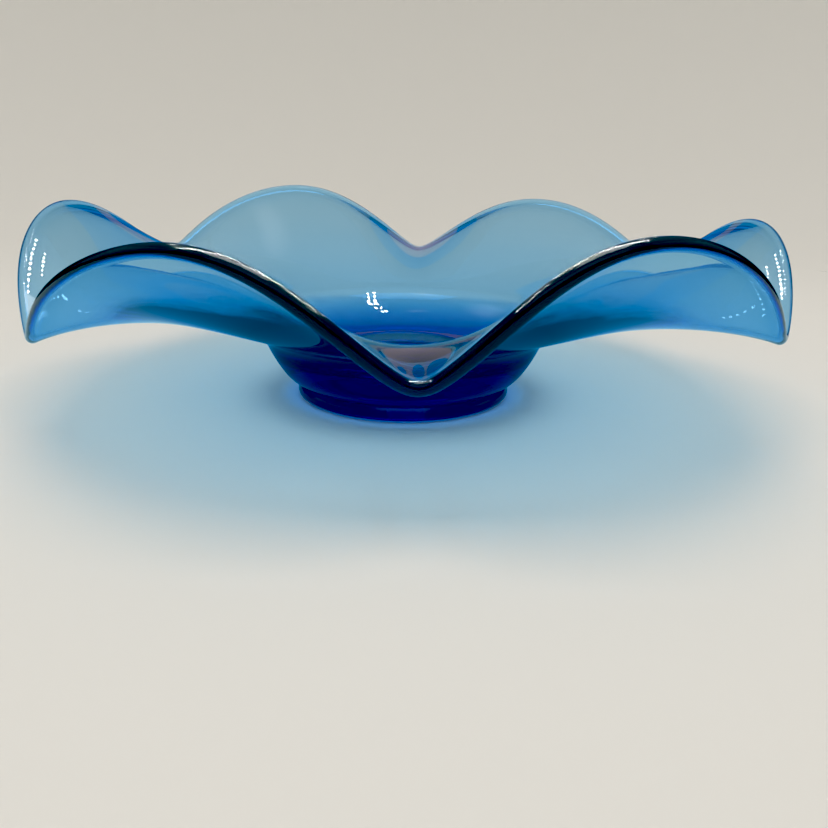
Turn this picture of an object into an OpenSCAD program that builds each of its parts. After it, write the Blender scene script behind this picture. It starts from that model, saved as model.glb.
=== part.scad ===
// Art glass bowl: a wide six-lobed crimped bowl of blue glass on an applied round foot.
// Millimetres, +Z up. The origin is on the table, under the middle of the foot.

/* [Rim] */
// Reach of each lobe crest from the bowl's axis, the first on +X and then anticlockwise
lobe_reach = [149, 151, 154, 151, 149, 154]; // [140:1:160]
// Height of each lobe crest above the table
lobe_rise = [75, 74, 79, 77, 78, 82]; // [68:1:90]
// How far each lobe was pulled round from its even place, in degrees
lobe_turn = [1, 0, -5, -7, 6, -4]; // [-7:1:7]
// Reach of each crimped notch, the first 30 degrees round from +X
notch_reach = [148, 140, 145, 148, 140, 151]; // [136:1:156]
// Height of each notch above the table
notch_rise = [46, 45, 50, 39, 43, 44]; // [36:1:54]
// How far each notch was pulled round from its even place, in degrees
notch_turn = [-1, -3, -3, -2, 2, 0]; // [-7:1:7]
// Softness of the crimped notches: low values fold them into a sharper V
notch_softness = 0.14; // [0.05:0.01:0.4]
// Thickness of the fire-polished edge, which draws up into a slight bead
rim_bead = 4.8; // [4:0.1:5.6]

/* [Flare] */
// Radius at which the flared wall leaves the well
shoulder_r = 61.5; // [58:0.5:65]
// Height of the middle of the wall at the shoulder
shoulder_z = 32; // [30:0.5:36]
// Angle at which the flare leaves the shoulder
flare_angle = 19; // [12:1:24]
// Share of the flare that keeps that angle before it turns up into a lobe or down into a notch
flare_hold = 0.6; // [0.5:0.01:0.7]
// Thickness of the wall at the shoulder
shoulder_wall = 5.2; // [4.4:0.1:6]
// Thickness of the wall just inside the edge
thin_wall = 3.4; // [3:0.1:4]

/* [Well] */
// Height of the middle of the inner floor above the table: the base is thick glass
floor_z = 21; // [19:0.5:23]
// Radius of the flat part of the inner floor
floor_r = 20; // [14:1:26]

/* [Foot] */
// Height of the applied foot
foot_h = 6; // [5:0.5:8]
// Largest radius of the foot
foot_r = 46; // [44:0.5:50]
// Radius of the line where the foot leaves the table
foot_base_r = 41; // [38:0.5:43]
// Radius of the ground hollow under the foot
hollow_r = 28; // [20:1:34]
// Depth of the ground hollow under the foot
hollow_depth = 2.2; // [1:0.1:3]

/* [Hidden] */

glass_blue = [0.06, 0.36, 0.78, 0.6];
foot_blue = [0.02, 0.12, 0.55, 0.75];

crimps = 6;
sector = 180 / crimps;          // from a lobe crest to the next notch
sector_steps = 8;               // facets across one sector
facets = 2 * crimps * sector_steps;
flare_steps = 12;               // rings from the shoulder to the edge
edge_steps = 6;                 // rings round the fire-polished edge
well_steps = 4;                 // rings in each arc of the well's two profiles
bead_spread = 12;               // high values keep the bead close to the edge
shoulder_run = 9;               // length of flare taken up by the soft shoulder
base_r = foot_r - 1.5;          // the body's flat base, on top of the foot

// Point at t on the arc from a to c that is pulled towards b
function arc(a, b, c, t) = (1 - t) * (1 - t) * a + 2 * t * (1 - t) * b + t * t * c;

// Smooth run of arcs that starts at the first corner, rounds the others and stops short of the last
function rounded(corners, steps) =
    let (last = len(corners) - 2)
    [for (i = [1 : last], j = [0 : steps - 1])
        arc(i == 1 ? corners[0] : (corners[i - 1] + corners[i]) / 2,
            corners[i],
            i == last ? corners[i + 1] : (corners[i] + corners[i + 1]) / 2,
            j / steps)];

// Rises from 0 in a notch to 1 on a lobe crest, folded at the notch and full at the crest
function fold(w) = (sqrt(w + notch_softness * notch_softness) - notch_softness)
    / (sqrt(1 + notch_softness * notch_softness) - notch_softness);

// The edge's reach, height and true angle at the even angle u
function edge(u) =
    let (s = u / sector,
         i = floor(s),
         lobe = (floor((i + 1) / 2) + crimps) % crimps,
         notch = (floor(i / 2) + crimps) % crimps,
         w = pow(cos(90 * (i % 2 == 0 ? s - i : 1 - s + i)), 2),
         rise = fold(w))
    [notch_reach[notch] + (lobe_reach[lobe] - notch_reach[notch]) * rise,
     notch_rise[notch] + (lobe_rise[lobe] - notch_rise[notch]) * rise,
     u + notch_turn[notch] + (lobe_turn[lobe] - notch_turn[notch]) * w];

// A profile point [radius, height] turned to the angle a
function turned(p, a) = [p[0] * cos(a), p[0] * sin(a), p[1]];

flare_way = [cos(flare_angle), sin(flare_angle)];
shoulder = [shoulder_r, shoulder_z];
flare_start = shoulder + shoulder_run * flare_way;
flare_up = [-flare_way[1], flare_way[0]];

// Middle of the flared wall: u round the bowl, t from the shoulder (0) to the edge (1)
function flare(u, t) =
    let (e = edge(u),
         tip = [e[0], e[1]],
         bend = shoulder + flare_hold * norm(tip - shoulder) * flare_way)
    turned(arc(flare_start, bend, tip, t), e[2]);

// Directions along the wall towards the edge, and square to the wall on its upper side
probe = 0.01;
function flare_out(u, t) = let (d = flare(u, t + probe) - flare(u, t - probe)) d / norm(d);
function flare_normal(u, t) =
    let (n = cross(flare_out(u, t), flare(u - 10 * probe, t) - flare(u + 10 * probe, t)))
    n / norm(n) * (n[2] < 0 ? -1 : 1);
function half_wall(t) =
    (shoulder_wall + (thin_wall - shoulder_wall) * t + (rim_bead - thin_wall) * pow(t, bead_spread)) / 2;

// Where ring i of the flare lies: closer together towards the beaded edge
function flare_share(i) = 1 - pow(1 - i / flare_steps, 1.3);

// The rings of one meridian, from the flat base outwards, round the edge and back to the floor
outer_corners = [[base_r, foot_h],
                 [base_r + 5.5, foot_h + 2.5],
                 [shoulder_r - 5, shoulder_z - 14.5],
                 shoulder + [0.5, -2.6],
                 flare_start - flare_up * half_wall(0)];
inner_corners = [flare_start + flare_up * half_wall(0),
                 shoulder + [-1, 2.2],
                 [shoulder_r - 13.5, shoulder_z - 6],
                 [floor_r + 12, floor_z],
                 [floor_r, floor_z]];

function meridian(u) =
    let (a = edge(u)[2])
    concat(
        [for (p = rounded(outer_corners, well_steps)) turned(p, a)],
        [for (i = [0 : flare_steps]) let (t = flare_share(i))
            flare(u, t) - flare_normal(u, t) * half_wall(t)],
        [for (i = [1 : edge_steps - 1]) let (b = 180 * i / edge_steps)
            flare(u, 1) + half_wall(1) * (flare_out(u, 1) * sin(b) - flare_normal(u, 1) * cos(b))],
        [for (i = [flare_steps : -1 : 1]) let (t = flare_share(i))
            flare(u, t) + flare_normal(u, t) * half_wall(t)],
        [for (p = rounded(inner_corners, well_steps)) turned(p, a)],
        [turned(inner_corners[len(inner_corners) - 1], a)]);

// Even angle of facet k: the facets crowd together towards each notch, where the edge bends most
function facet_angle(k) =
    let (i = floor(k / sector_steps),
         s = k / sector_steps - i,
         crowd = i % 2 == 0 ? 1 - pow(1 - s, 1.5) : pow(s, 1.5))
    sector * (i + crowd);

module bowl_body() {
    lines = [for (k = [0 : facets - 1]) meridian(facet_angle(k))];
    rings = len(lines[0]);
    points = concat([for (line = lines) each line], [[0, 0, foot_h], [0, 0, floor_z]]);
    base_hub = len(points) - 2;
    floor_hub = len(points) - 1;
    faces = [for (k = [0 : facets - 1])
        let (here = k * rings, next = (k + 1) % facets * rings)
        each concat(
            [[base_hub, here, next], [floor_hub, next + rings - 1, here + rings - 1]],
            [for (i = [0 : rings - 2]) each [[here + i, here + i + 1, next + i + 1],
                                             [here + i, next + i + 1, next + i]]])];
    color(glass_blue) polyhedron(points, faces, convexity = 8);
}

module foot() {
    waist = [base_r, foot_h];
    foot_side = rounded([[foot_base_r, 0], [foot_r, 0], [foot_r + 0.7, foot_h * 0.75], waist], 4);
    hollow = [for (i = [0 : 6]) let (b = 90 * i / 6) [hollow_r * sin(b), hollow_depth * cos(b)]];
    color(foot_blue) rotate_extrude($fn = 96)
        polygon(concat(hollow, foot_side, [waist, [0, foot_h]]));
}

bowl_body();
foot();
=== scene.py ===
# Art glass bowl: the looks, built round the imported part.
# Metres, +Z up, standing on z = 0 with the bowl's axis on x = y = 0.
import math

import bpy
import numpy as np
from mathutils import Matrix, Vector


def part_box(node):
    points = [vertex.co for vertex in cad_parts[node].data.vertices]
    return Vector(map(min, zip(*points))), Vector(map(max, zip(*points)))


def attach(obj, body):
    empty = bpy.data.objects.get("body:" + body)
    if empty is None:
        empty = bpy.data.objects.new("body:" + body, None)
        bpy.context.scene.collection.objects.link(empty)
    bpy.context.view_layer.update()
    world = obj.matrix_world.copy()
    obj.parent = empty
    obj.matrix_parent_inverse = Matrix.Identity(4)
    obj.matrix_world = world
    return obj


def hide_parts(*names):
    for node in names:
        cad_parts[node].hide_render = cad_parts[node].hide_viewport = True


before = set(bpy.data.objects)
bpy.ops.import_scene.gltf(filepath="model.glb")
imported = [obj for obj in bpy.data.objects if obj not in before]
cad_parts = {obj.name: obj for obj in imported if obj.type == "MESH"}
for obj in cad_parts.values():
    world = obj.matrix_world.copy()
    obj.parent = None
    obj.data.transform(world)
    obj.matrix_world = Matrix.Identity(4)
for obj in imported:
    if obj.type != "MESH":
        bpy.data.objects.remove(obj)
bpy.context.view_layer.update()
body_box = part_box("bowl_body")
foot_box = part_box("foot")
MM = 0.001

PAPER = (0.775, 0.745, 0.69)    # the floor and wall
SKY = 0.5                       # strength of the room's own light
TOP_POWER = 8.5                 # lamps, in watts
FILL_POWER = 1.0
SIDE_POWER = 0.6
BLACK = (0.046, 0.018, 0.004)   # the view's black level, by channel

ABSORB = (208, 84, 17)          # how fast the glass takes up red, green and blue, per metre
GLOSS = 0.35                    # the glass's specular level
FUSE = 0.02 * MM                # how far the body is sunk into the foot
WAVE_DEPTH = 0.25 * MM
RIPPLE_DEPTH = 0.006 * MM
SCUFF_DEPTH = 0.01 * MM
WORN_HEIGHT = 0.4 * MM          # the band of the foot that has rubbed on tables
STREAKS = [(0.35, (0.96, 0.985, 1.0)), (0.6, (1.0, 1.0, 1.0))]
DULL_PATCHES = [(0.5, 0.0), (0.8, 0.04)]

# ---------------------------------------------------------------- the bowl's shape
# The same rules as the part's own source, sampled finely enough to look smooth.

LOBE_REACH = np.array([149, 151, 154, 151, 149, 154]) * MM
LOBE_RISE = np.array([75, 74, 79, 77, 78, 82]) * MM
LOBE_TURN = np.array([1, 0, -5, -7, 6, -4])
NOTCH_REACH = np.array([148, 140, 145, 148, 140, 151]) * MM
NOTCH_RISE = np.array([46, 45, 50, 39, 43, 44]) * MM
NOTCH_TURN = np.array([-1, -3, -3, -2, 2, 0])
NOTCH_SOFTNESS = 0.14
RIM_BEAD = 4.8 * MM
BEAD_SPREAD = 12
SHOULDER = np.array([61.5, 32]) * MM
SHOULDER_WALL = 5.2 * MM
THIN_WALL = 3.4 * MM
SHOULDER_RUN = 9 * MM
FLARE_ANGLE = math.radians(19)
FLARE_HOLD = 0.6
FLOOR = np.array([20, 21]) * MM
FOOT_H = foot_box[1][2]
FOOT_R = foot_box[1][0]
CRIMPS = 6
SECTOR = 180 / CRIMPS           # degrees from a lobe crest to the next notch
HUB = 0.08                      # share of a flat disc that its innermost ring leaves to the hub
FOOT_FACETS = 288
CROWD_NOTCH = 1.25              # facets draw together towards each notch
CROWD_EDGE = 1.3                # and rings towards the edge
HOLLOW_R, HOLLOW_DEPTH = 28 * MM, 2.2 * MM

FLARE_WAY = np.array([math.cos(FLARE_ANGLE), math.sin(FLARE_ANGLE)])
FLARE_UP = np.array([-FLARE_WAY[1], FLARE_WAY[0]])
FLARE_START = SHOULDER + SHOULDER_RUN * FLARE_WAY


def arc(a, b, c, t):
    """Point at t on the arc from a to c that is pulled towards b."""
    return (1 - t) ** 2 * a + 2 * t * (1 - t) * b + t * t * c


def rounded(corners, steps):
    """Smooth run of arcs that starts at the first corner, rounds the others and stops short of the last."""
    c = [np.array(p, float) for p in corners]
    last = len(c) - 2
    run = []
    for i in range(1, last + 1):
        start = c[0] if i == 1 else (c[i - 1] + c[i]) / 2
        end = c[i + 1] if i == last else (c[i] + c[i + 1]) / 2
        run += [arc(start, c[i], end, j / steps) for j in range(steps)]
    return np.array(run)


def fold(w):
    """Rises from 0 in a notch to 1 on a lobe crest, folded at the notch and full at the crest."""
    s = NOTCH_SOFTNESS
    return (np.sqrt(w + s * s) - s) / (math.sqrt(1 + s * s) - s)


def edge(u):
    """The edge's reach, height and true angle (degrees) at the even angles u."""
    s = u / SECTOR
    i = np.floor(s).astype(int)
    lobe = ((i + 1) // 2) % CRIMPS
    notch = (i // 2) % CRIMPS
    w = np.cos(math.pi / 2 * np.where(i % 2 == 0, s - i, 1 - s + i)) ** 2
    rise = fold(w)
    return (NOTCH_REACH[notch] + (LOBE_REACH[lobe] - NOTCH_REACH[notch]) * rise,
            NOTCH_RISE[notch] + (LOBE_RISE[lobe] - NOTCH_RISE[notch]) * rise,
            u + NOTCH_TURN[notch] + (LOBE_TURN[lobe] - NOTCH_TURN[notch]) * w)


def flare(u, t):
    """Middle of the flared wall: u round the bowl, t from the shoulder (0) to the edge (1)."""
    reach, rise, angle = edge(u)
    gap = np.hypot(reach - SHOULDER[0], rise - SHOULDER[1])
    r = arc(FLARE_START[0], SHOULDER[0] + FLARE_HOLD * gap * FLARE_WAY[0], reach, t)
    z = arc(FLARE_START[1], SHOULDER[1] + FLARE_HOLD * gap * FLARE_WAY[1], rise, t)
    a = np.radians(angle)
    return np.stack([r * np.cos(a), r * np.sin(a), z], -1)


def unit(v):
    """The same direction, one long."""
    return v / np.linalg.norm(v, axis=-1, keepdims=True)


PROBE = 0.01    # the small step that finds a direction, ten times as large in degrees round the bowl


def flare_out(u, t):
    """Direction along the wall towards the edge."""
    return unit(flare(u, t + PROBE) - flare(u, t - PROBE))


def flare_normal(u, t):
    """Direction square to the wall on its upper side."""
    n = unit(np.cross(flare_out(u, t), flare(u - 10 * PROBE, t) - flare(u + 10 * PROBE, t)))
    return n * np.where(n[..., 2:] < 0, -1, 1)


def half_wall(t):
    """Half the wall's thickness, with the bead at the edge."""
    return (SHOULDER_WALL + (THIN_WALL - SHOULDER_WALL) * t + (RIM_BEAD - THIN_WALL) * t ** BEAD_SPREAD) / 2


def upper(u, t):
    """The flared wall's upper side."""
    return flare(u, t) + flare_normal(u, t) * np.expand_dims(half_wall(t), -1)


def rim(u, b):
    """The edge's bead: b is 0 degrees below, 90 outwards and 180 above."""
    b = np.radians(np.expand_dims(b, -1))
    return flare(u, 1) + half_wall(1) * (flare_out(u, 1) * np.sin(b) - flare_normal(u, 1) * np.cos(b))


BASE_R = FOOT_R - 1.85 * MM
OUTER = [[BASE_R, FOOT_H], [BASE_R + 5.5 * MM, FOOT_H + 2.5 * MM],
         SHOULDER + np.array([-5, -14.5]) * MM, SHOULDER + np.array([0.5, -2.6]) * MM,
         FLARE_START - FLARE_UP * half_wall(0)]
FOOT_BASE_R = FOOT_R - 5.35 * MM
FOOT_SIDE = [[FOOT_BASE_R, 0], [FOOT_R - 0.35 * MM, 0], [FOOT_R + 0.35 * MM, FOOT_H * 0.75],
             [BASE_R, FOOT_H]]
INNER = [FLARE_START + FLARE_UP * half_wall(0), SHOULDER + np.array([-1, 2.2]) * MM,
         SHOULDER + np.array([-13.5, -6]) * MM, FLOOR + np.array([12, 0]) * MM, FLOOR]


def well(angle, share):
    """The inside of the well: degrees round the bowl, and 0 at the flare to 1 at the floor."""
    profile = rounded(INNER, 60)
    r, z = (np.interp(share * (len(profile) - 1), np.arange(len(profile)), side) for side in profile.T)
    a = np.radians(angle)
    return np.stack([r * np.cos(a), r * np.sin(a), z + 0 * a], -1)


def bowl_rings(facets, flare_steps, edge_steps, well_steps):
    """Rings of points from the flat base outwards, round the edge and back to the floor."""
    k = np.arange(facets) / facets * 2 * CRIMPS
    i = np.floor(k)
    s = k - i
    u = SECTOR * (i + np.where(i % 2 == 0, 1 - (1 - s) ** CROWD_NOTCH, s ** CROWD_NOTCH))
    a = np.radians(edge(u)[2])

    def turned(p):
        return np.stack([p[0] * np.cos(a), p[0] * np.sin(a), np.full_like(a, p[1])], -1)

    rings = [turned([BASE_R * f, FOOT_H - FUSE]) for f in np.linspace(HUB, 0.98, 12)]
    rings += [turned(p) for p in rounded(OUTER, well_steps)]
    shares = 1 - (1 - np.linspace(0, 1, flare_steps + 1)) ** CROWD_EDGE
    for t in shares:
        rings.append(flare(u, t) - flare_normal(u, t) * half_wall(t))
    for b in np.linspace(0, 180, edge_steps + 1)[1:-1]:
        rings.append(rim(u, b))
    for t in shares[:0:-1]:
        rings.append(flare(u, t) + flare_normal(u, t) * half_wall(t))
    rings += [turned(p) for p in rounded(INNER, well_steps)]
    rings += [turned([FLOOR[0] * f, FLOOR[1]]) for f in np.linspace(1, HUB, 10)]
    return np.array(rings)


def shell(name, rings, bottom, top):
    """A closed quad mesh through rings of points, with a hub at each end."""
    count, facets = rings.shape[:2]
    points = np.concatenate([rings.reshape(-1, 3), [bottom, top]])
    faces = []
    for r in range(count - 1):
        for k in range(facets):
            n = (k + 1) % facets
            faces.append((r * facets + k, r * facets + n, (r + 1) * facets + n, (r + 1) * facets + k))
    low, high, last = len(points) - 2, len(points) - 1, (count - 1) * facets
    for k in range(facets):
        n = (k + 1) % facets
        faces.append((low, n, k))
        faces.append((high, last + k, last + n))
    mesh = bpy.data.meshes.new(name)
    mesh.from_pydata(points.tolist(), [], faces)
    mesh.validate()
    mesh.polygons.foreach_set("use_smooth", [True] * len(mesh.polygons))
    obj = bpy.data.objects.new(name, mesh)
    bpy.context.scene.collection.objects.link(obj)
    return obj


def fit_to(obj, box, sunk=0):
    """Settles a mesh into a CAD node's box, so that the finer mesh is the same size.
    sunk is how far it reaches below that box."""
    co = np.empty(len(obj.data.vertices) * 3)
    obj.data.vertices.foreach_get("co", co)
    co = co.reshape(-1, 3)
    lo, hi = co.min(0), co.max(0)
    box_lo, box_hi = np.array(box[0]) - [0, 0, sunk], np.array(box[1])
    co = box_lo + (co - lo) * (box_hi - box_lo) / (hi - lo)
    obj.data.vertices.foreach_set("co", co.ravel())
    obj.data.update()


def make_body():
    facets = 480
    rings = bowl_rings(facets, 56, 14, 10)
    body = shell("bowl_body_glass", rings, [0, 0, FOOT_H - FUSE], [0, 0, FLOOR[1]])
    fit_to(body, body_box, FUSE)
    return body


def make_foot():
    profile = [[HOLLOW_R * math.sin(b), HOLLOW_DEPTH * math.cos(b)]
               for b in np.linspace(0.06, math.pi / 2, 24)]
    profile += [[r, 0] for r in np.linspace(HOLLOW_R + 1 * MM, FOOT_BASE_R - 1 * MM, 6)]
    profile += [list(p) for p in rounded(FOOT_SIDE, 14)]
    profile += [[BASE_R * f, FOOT_H] for f in np.linspace(1, HUB, 12)]
    a = np.linspace(0, 2 * math.pi, FOOT_FACETS + 1)[:-1]
    rings = np.array([np.stack([r * np.cos(a), r * np.sin(a), np.full_like(a, z)], -1) for r, z in profile])
    foot = shell("foot_glass", rings, [0, 0, HOLLOW_DEPTH], [0, 0, FOOT_H])
    fit_to(foot, foot_box)
    return foot


# ---------------------------------------------------------------- glass
def noise(nodes, links, vector, scale, detail=2.0):
    """Noise of about 1 / scale metres across."""
    node = nodes.new("ShaderNodeTexNoise")
    node.inputs["Scale"].default_value = scale
    node.inputs["Detail"].default_value = detail
    links.new(vector, node.inputs["Vector"])
    return node.outputs["Fac"]


def ramp(nodes, links, value, stops):
    """Turns a value into the colours of the stops: place from 0 to 1, then a grey or a colour."""
    node = nodes.new("ShaderNodeValToRGB")
    elements = node.color_ramp.elements
    while len(elements) < len(stops):
        elements.new(0.5)
    for element, (place, value_there) in zip(elements, stops):
        colour = value_there if isinstance(value_there, tuple) else (value_there,) * 3
        element.position, element.color = place, colour + (1,)
    links.new(value, node.inputs["Fac"])
    return node.outputs["Color"]


def bump(nodes, links, height, depth, before=None):
    """Raises the surface by up to depth metres."""
    node = nodes.new("ShaderNodeBump")
    node.inputs["Strength"].default_value = 1
    node.inputs["Distance"].default_value = depth
    links.new(height, node.inputs["Height"])
    if before:
        links.new(before, node.inputs["Normal"])
    return node.outputs["Normal"]


def glass(name, worn_height=0.0):
    """Blown glass that takes its colour from how far light travels inside it: a wavy skin, fine ripples,
    faint streaks and dull patches, and below worn_height a frosted band where it has rubbed on tables."""
    mat = bpy.data.materials.new(name)
    mat.use_nodes = True
    nodes, links = mat.node_tree.nodes, mat.node_tree.links
    nodes.clear()
    out = nodes.new("ShaderNodeOutputMaterial")
    skin = nodes.new("ShaderNodeBsdfPrincipled")
    skin.inputs["Transmission Weight"].default_value = 1
    skin.inputs["IOR"].default_value = 1.5
    skin.inputs["Specular IOR Level"].default_value = GLOSS
    place = nodes.new("ShaderNodeTexCoord").outputs["Object"]

    stretch = nodes.new("ShaderNodeMapping")
    stretch.inputs["Scale"].default_value = (1, 1, 5)
    links.new(place, stretch.inputs["Vector"])
    streaks = ramp(nodes, links, noise(nodes, links, stretch.outputs[0], 14, 3), STREAKS)
    links.new(streaks, skin.inputs["Base Color"])

    dull = ramp(nodes, links, noise(nodes, links, place, 70, 6), DULL_PATCHES)
    waves = bump(nodes, links, noise(nodes, links, place, 16, 1), WAVE_DEPTH)
    ripples = bump(nodes, links, noise(nodes, links, place, 120, 2), RIPPLE_DEPTH, waves)
    if worn_height:
        parts = nodes.new("ShaderNodeSeparateXYZ")
        links.new(place, parts.inputs[0])
        near = nodes.new("ShaderNodeMapRange")
        near.inputs["From Max"].default_value = worn_height
        near.inputs["To Min"].default_value, near.inputs["To Max"].default_value = 1, 0
        links.new(parts.outputs["Z"], near.inputs["Value"])
        scuffs = noise(nodes, links, place, 900, 4)
        frost = nodes.new("ShaderNodeMath")
        frost.operation = "MULTIPLY"
        links.new(near.outputs[0], frost.inputs[0])
        links.new(scuffs, frost.inputs[1])
        both = nodes.new("ShaderNodeMath")
        both.operation = "ADD"
        both.use_clamp = True
        links.new(dull, both.inputs[0])
        links.new(frost.outputs[0], both.inputs[1])
        dull = both.outputs[0]
        ripples = bump(nodes, links, frost.outputs[0], SCUFF_DEPTH, ripples)
    links.new(dull, skin.inputs["Roughness"])
    links.new(ripples, skin.inputs["Normal"])

    tint = nodes.new("ShaderNodeVolumeAbsorption")
    density = max(ABSORB) * 1.15
    tint.inputs["Density"].default_value = density
    tint.inputs["Color"].default_value = tuple(1 - a / density for a in ABSORB) + (1,)
    links.new(skin.outputs["BSDF"], out.inputs["Surface"])
    links.new(tint.outputs["Volume"], out.inputs["Volume"])
    return mat


# ---------------------------------------------------------------- stage, lights, camera
FLAT_R, CURVE_R, WALL_H = 0.55, 0.75, 1.5      # the sweep: flat floor, curve and wall
# The painted reflection of the floor, a glowing disc seen only in the glass: rings of colour by distance
# from the axis, a painted blue shadow under the bowl that pales to paper further out
PAINTED_FLOOR_REFLECTION_COLOURS = [(0.0, (0.03, 0.12, 0.25)), (0.075, (0.04, 0.16, 0.31)), (0.115, (0.10, 0.33, 0.70)),
                (0.15, (0.34, 0.62, 0.78)), (0.3, (0.55, 0.62, 0.62))]
# Painted reflections at the back, glowing cards seen only in the glass: colour, distance, lowest and
# highest point (m), half their turn (degrees)
PAINTED_BACK_REFLECTIONS = [("painted_back_reflection", (0.42, 0.335, 0.36), 1.0, 0.04, 0.43, 14),
              ("painted_back_reflection_blue", (0.05, 0.2, 0.5), 1.05, 0.06, 0.75, 28)]
EYE = np.array([2, -350, 106]) * MM            # the camera
GLINT_GAP = 0.25                                # from the glass to a glowing quad whose painted glint shows in it
# how bright the painted glints glow
PAINTED_GLINT_STRENGTH = 150
FRONT = 270                                    # the notch that faces the camera, in degrees
# Painted highlights, soft glowing cards seen only in the glass: name, surface, place of the highlight, half
# the card's size, colour
PAINTED_HIGHLIGHTS = [("painted_highlight", upper, (130, 0.68), (0.022, 0.06), (1.0, 1.05, 1.1)),
           ("painted_highlight_low", well, (80, 0.2), (0.009, 0.008), (1.6, 1.7, 1.8))]


def link(name, mesh, material):
    """Puts a mesh of the stage in the scene."""
    obj = bpy.data.objects.new(name, mesh)
    mesh.materials.append(material)
    bpy.context.scene.collection.objects.link(obj)
    return obj


def only_mirrored(obj):
    """A glowing card or quad that the camera sees only as a painted reflection, highlight or glint in the
    glass.
    """
    obj.visible_camera = obj.visible_diffuse = obj.visible_transmission = obj.visible_shadow = False
    return obj


def sweep_part(name, profile, start, end, material):
    """A strip of the sweep between two angles (degrees), turned from one profile."""
    steps = max(2, round((end - start) / 4))
    a = np.radians(np.linspace(start, end, steps + 1))
    rings = np.array([np.stack([r * np.cos(a), r * np.sin(a), np.full_like(a, z)], -1) for r, z in profile])
    count, across = rings.shape[:2]
    faces = [(r * across + k, r * across + k + 1, (r + 1) * across + k + 1, (r + 1) * across + k)
             for r in range(count - 1) for k in range(across - 1)]
    mesh = bpy.data.meshes.new(name)
    mesh.from_pydata(rings.reshape(-1, 3).tolist(), [], faces)
    mesh.polygons.foreach_set("use_smooth", [True] * len(mesh.polygons))
    return link(name, mesh, material)


def painted_highlight_card(name, place, aim, half_x, half_y, colour):
    """A glowing card that fades into the sky towards its edge: a painted highlight that shows only in the
    glass.
    """
    mesh = bpy.data.meshes.new(name)
    mesh.from_pydata([(-1, -1, 0), (1, -1, 0), (1, 1, 0), (-1, 1, 0)], [], [(0, 1, 2, 3)])
    card = link(name, mesh, glow(name, colour, rings=[(0.0, colour), (0.3, colour), (1.0, 0.9 * SKY)]))
    card.location = place
    card.rotation_euler = (Vector(aim) - Vector(place)).to_track_quat("-Z", "Y").to_euler()
    card.scale = (half_x, half_y, 1)
    return only_mirrored(card)


def paper():
    """Matt paper for the floor and wall."""
    mat = bpy.data.materials.new("pale_paper")
    mat.use_nodes = True
    bsdf = mat.node_tree.nodes["Principled BSDF"]
    bsdf.inputs["Base Color"].default_value = PAPER + (1,)
    bsdf.inputs["Roughness"].default_value = 0.6
    bsdf.inputs["Specular IOR Level"].default_value = 0
    return mat


def glow(name, colour, strength=1.0, rings=None):
    """A glowing material for the painted reflections, highlights and glints: one colour, or rings of colour
    by distance from its object's own middle.
    """
    mat = bpy.data.materials.new(name)
    mat.use_nodes = True
    nodes, links = mat.node_tree.nodes, mat.node_tree.links
    nodes.clear()
    out = nodes.new("ShaderNodeOutputMaterial")
    lamp = nodes.new("ShaderNodeEmission")
    lamp.inputs["Color"].default_value = tuple(colour) + (1,)
    lamp.inputs["Strength"].default_value = strength
    links.new(lamp.outputs[0], out.inputs["Surface"])
    if rings:
        coord = nodes.new("ShaderNodeTexCoord")
        reach = nodes.new("ShaderNodeVectorMath")
        reach.operation = "LENGTH"
        links.new(coord.outputs["Object"], reach.inputs[0])
        links.new(ramp(nodes, links, reach.outputs["Value"], rings), lamp.inputs["Color"])
    mat.cycles.emission_sampling = "NONE"
    return mat


def make_stage():
    """A pale round sweep: flat floor that curves up into a wall on every side. The glass doesn't
    mirror the sweep itself. It mirrors glowing cards instead: a painted reflection of the floor,
    painted blue where the bowl's own shadow lies, and dim painted reflections at the back."""
    material = paper()
    floor = [[0.0, 0.0]] + [[FLAT_R * f, 0] for f in (0.25, 0.5, 0.75, 1)]
    wall = [[FLAT_R + CURVE_R * math.sin(b), CURVE_R * (1 - math.cos(b))]
            for b in np.linspace(0, math.pi / 2, 24)]
    wall.append([FLAT_R + CURVE_R, WALL_H])
    ground = sweep_part("floor", floor, 0, 360, material)
    back = sweep_part("wall_back", wall, -30, 210, material)
    front = sweep_part("wall_front", wall, 210, 330, material)
    ground.visible_glossy = back.visible_glossy = front.visible_glossy = False
    front.visible_transmission = False
    # The painted reflection of the floor, with the bowl's shadow painted blue, shows in the glass in place
    # of the floor
    card = [[r, -0.5 * MM] for r in (0.0, 0.3, 0.6)]
    only_mirrored(sweep_part("painted_floor_reflection", card, 0, 360, glow("painted_floor_reflection", (1, 1, 1), rings=PAINTED_FLOOR_REFLECTION_COLOURS)))
    # Painted reflections at the back: a dim card and a blue one, seen only in the glass
    for name, colour, r, low, high, half_turn in PAINTED_BACK_REFLECTIONS:
        material = glow(name, colour)
        only_mirrored(sweep_part(name, [[r, low], [r, high]], 90 - half_turn, 90 + half_turn, material))


# ---------------------------------------------------------------- painted glints
# Rows of painted glints, glowing quads that show only in the glass: the first and last place of their
# glints, how many, and half a glint.
# On a side lobe a place is degrees from the crest towards the front, and the share of the flare.
SIDE_ROWS = [((14, 0.97), (23, 0.985), 11, (0.13, 0.004)),
             ((16, 0.92), (20, 0.925), 6, (0.09, 0.003)),
             ((18, 0.82), (26, 0.95), 8, (0.18, 0.007)),
             ((24, 0.86), (25, 0.73), 5, (0.16, 0.007))]
# On the rim it is degrees to either side of the front notch, and degrees round the bead
RIM_ROW = ((12, 135), (24, 135), 26, (0.06, 2))
# In the well it is degrees round the bowl, and the share of the way down
WELL_COLUMNS = (104.5, 107.5)
WELL_TURN, WELL_TOP, WELL_END = 1.2, 0.19, 0.36


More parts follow.
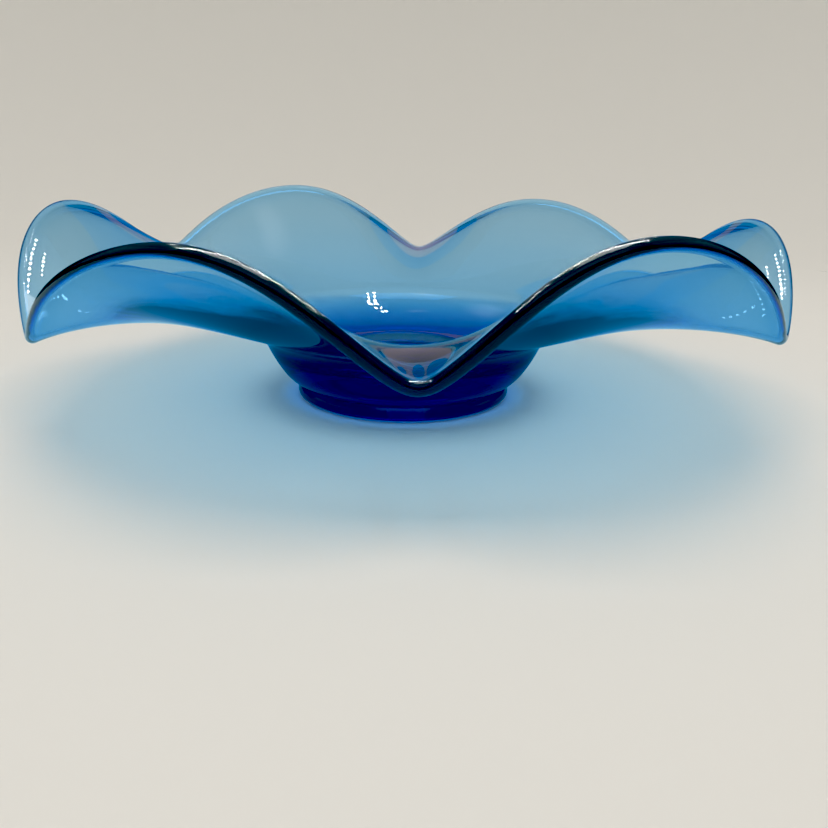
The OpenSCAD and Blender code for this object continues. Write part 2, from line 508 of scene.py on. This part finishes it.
def painted_glint_at(surface, p, q):
    """Where a glowing quad hangs so that the camera sees its painted glint at a place on a surface."""
    at = surface(p, q)
    n = unit(np.cross(surface(p + 10 * PROBE, q) - surface(p - 10 * PROBE, q),
                      surface(p, q + PROBE) - surface(p, q - PROBE)))
    look = unit(at - EYE)
    return at + GLINT_GAP * (look - 2 * (look * n).sum(-1, keepdims=True) * n)


def painted_glint_row(surface, start, end, count, half, material, origin=0, way=1):
    """A row of painted glints: glowing quads, each as large and as turned as it has to be for its glint.
    Angles run from origin, anticlockwise if way is 1 and clockwise if it is -1."""
    p, q = np.linspace(start, end, count).T
    corners = [painted_glint_at(surface, origin + way * p + dp * half[0], q + dq * half[1])
               for dp, dq in ((-1, -1), (-1, 1), (1, 1), (1, -1))]
    mesh = bpy.data.meshes.new("painted_glints")
    mesh.from_pydata(np.stack(corners, 1).reshape(-1, 3).tolist(), [],
                     [tuple(range(4 * i, 4 * i + 4)) for i in range(count)])
    return only_mirrored(link("painted_glints", mesh, material))


def make_painted_glints():
    """Painted glints and painted highlights: glowing quads and soft cards that only show in the gloss."""
    painted_glint = glow("painted_glint", (0.93, 0.97, 1), PAINTED_GLINT_STRENGTH)
    for crest, way in ((180, 1), (360, -1)):
        for row in SIDE_ROWS:
            painted_glint_row(upper, *row, painted_glint, crest, way)
    for way in (-1, 1):
        painted_glint_row(rim, *RIM_ROW, painted_glint, FRONT, way)
    for angle in WELL_COLUMNS:
        painted_glint_row(well, (angle, WELL_TOP), (angle + WELL_TURN, WELL_END), 4, (0.4, 0.01), painted_glint)
    for name, surface, place, half, colour in PAINTED_HIGHLIGHTS:
        painted_highlight_card(name, painted_glint_at(surface, *map(float, place)), surface(*map(float, place)), *half, colour)


def area_light(name, place, aim, size, power):
    data = bpy.data.lights.new(name, "AREA")
    data.shape = "RECTANGLE"
    data.size, data.size_y = size
    data.energy = power
    obj = bpy.data.objects.new(name, data)
    obj.location = place
    obj.rotation_euler = (Vector(aim) - Vector(place)).to_track_quat("-Z", "Y").to_euler()
    bpy.context.scene.collection.objects.link(obj)


def make_lights():
    world = bpy.data.worlds.new("studio")
    world.use_nodes = True
    nodes, links = world.node_tree.nodes, world.node_tree.links
    back = nodes["Background"]
    coord = nodes.new("ShaderNodeTexCoord")
    parts = nodes.new("ShaderNodeSeparateXYZ")
    links.new(coord.outputs["Generated"], parts.inputs[0])
    links.new(ramp(nodes, links, parts.outputs["Z"], [(0.25, 0.02), (0.8, 1.0)]), back.inputs["Color"])
    back.inputs["Strength"].default_value = SKY
    bpy.context.scene.world = world
    area_light("top", (0, -0.1, 1.25), (0, 0, 0), (0.85, 0.75), TOP_POWER)
    area_light("fill", (0, -1.15, 0.75), (0, 0, 0), (1.8, 0.5), FILL_POWER)
    for side in (-1, 1):
        area_light("side", (1.15 * side, -0.1, 0.5), (0, 0, 0.03), (1.2, 0.6), SIDE_POWER)


def make_camera():
    cam = bpy.data.cameras.new("camera")
    cam.sensor_width = 36
    cam.lens = 35.3
    obj = bpy.data.objects.new("camera", cam)
    bpy.context.scene.collection.objects.link(obj)
    pitch, yaw, roll = math.radians(18.5), math.radians(0.5), math.radians(-1)
    tilt = Matrix.Rotation(math.pi / 2 - pitch, 4, "X") @ Matrix.Rotation(-roll, 4, "Z")
    obj.matrix_world = Matrix.Translation(EYE) @ Matrix.Rotation(-yaw, 4, "Z") @ tilt
    bpy.context.scene.camera = obj


body, foot = make_body(), make_foot()
for piece, node, slot, material in ((body, "bowl_body", "blue_glass", glass("blue_glass")),
                                    (foot, "foot", "foot_glass", glass("foot_glass", WORN_HEIGHT))):
    piece.data.materials.append(material)
    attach(piece, "root")
    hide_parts(node)
make_stage()
make_painted_glints()
make_lights()
make_camera()
cycles = bpy.context.scene.cycles
cycles.max_bounces = 32
cycles.transmission_bounces = 32
cycles.glossy_bounces = 16
cycles.blur_glossy = 0
view = bpy.context.scene.view_settings
view.view_transform = "Standard"
view.use_curve_mapping = True
view.curve_mapping.black_level = BLACK
view.curve_mapping.update()
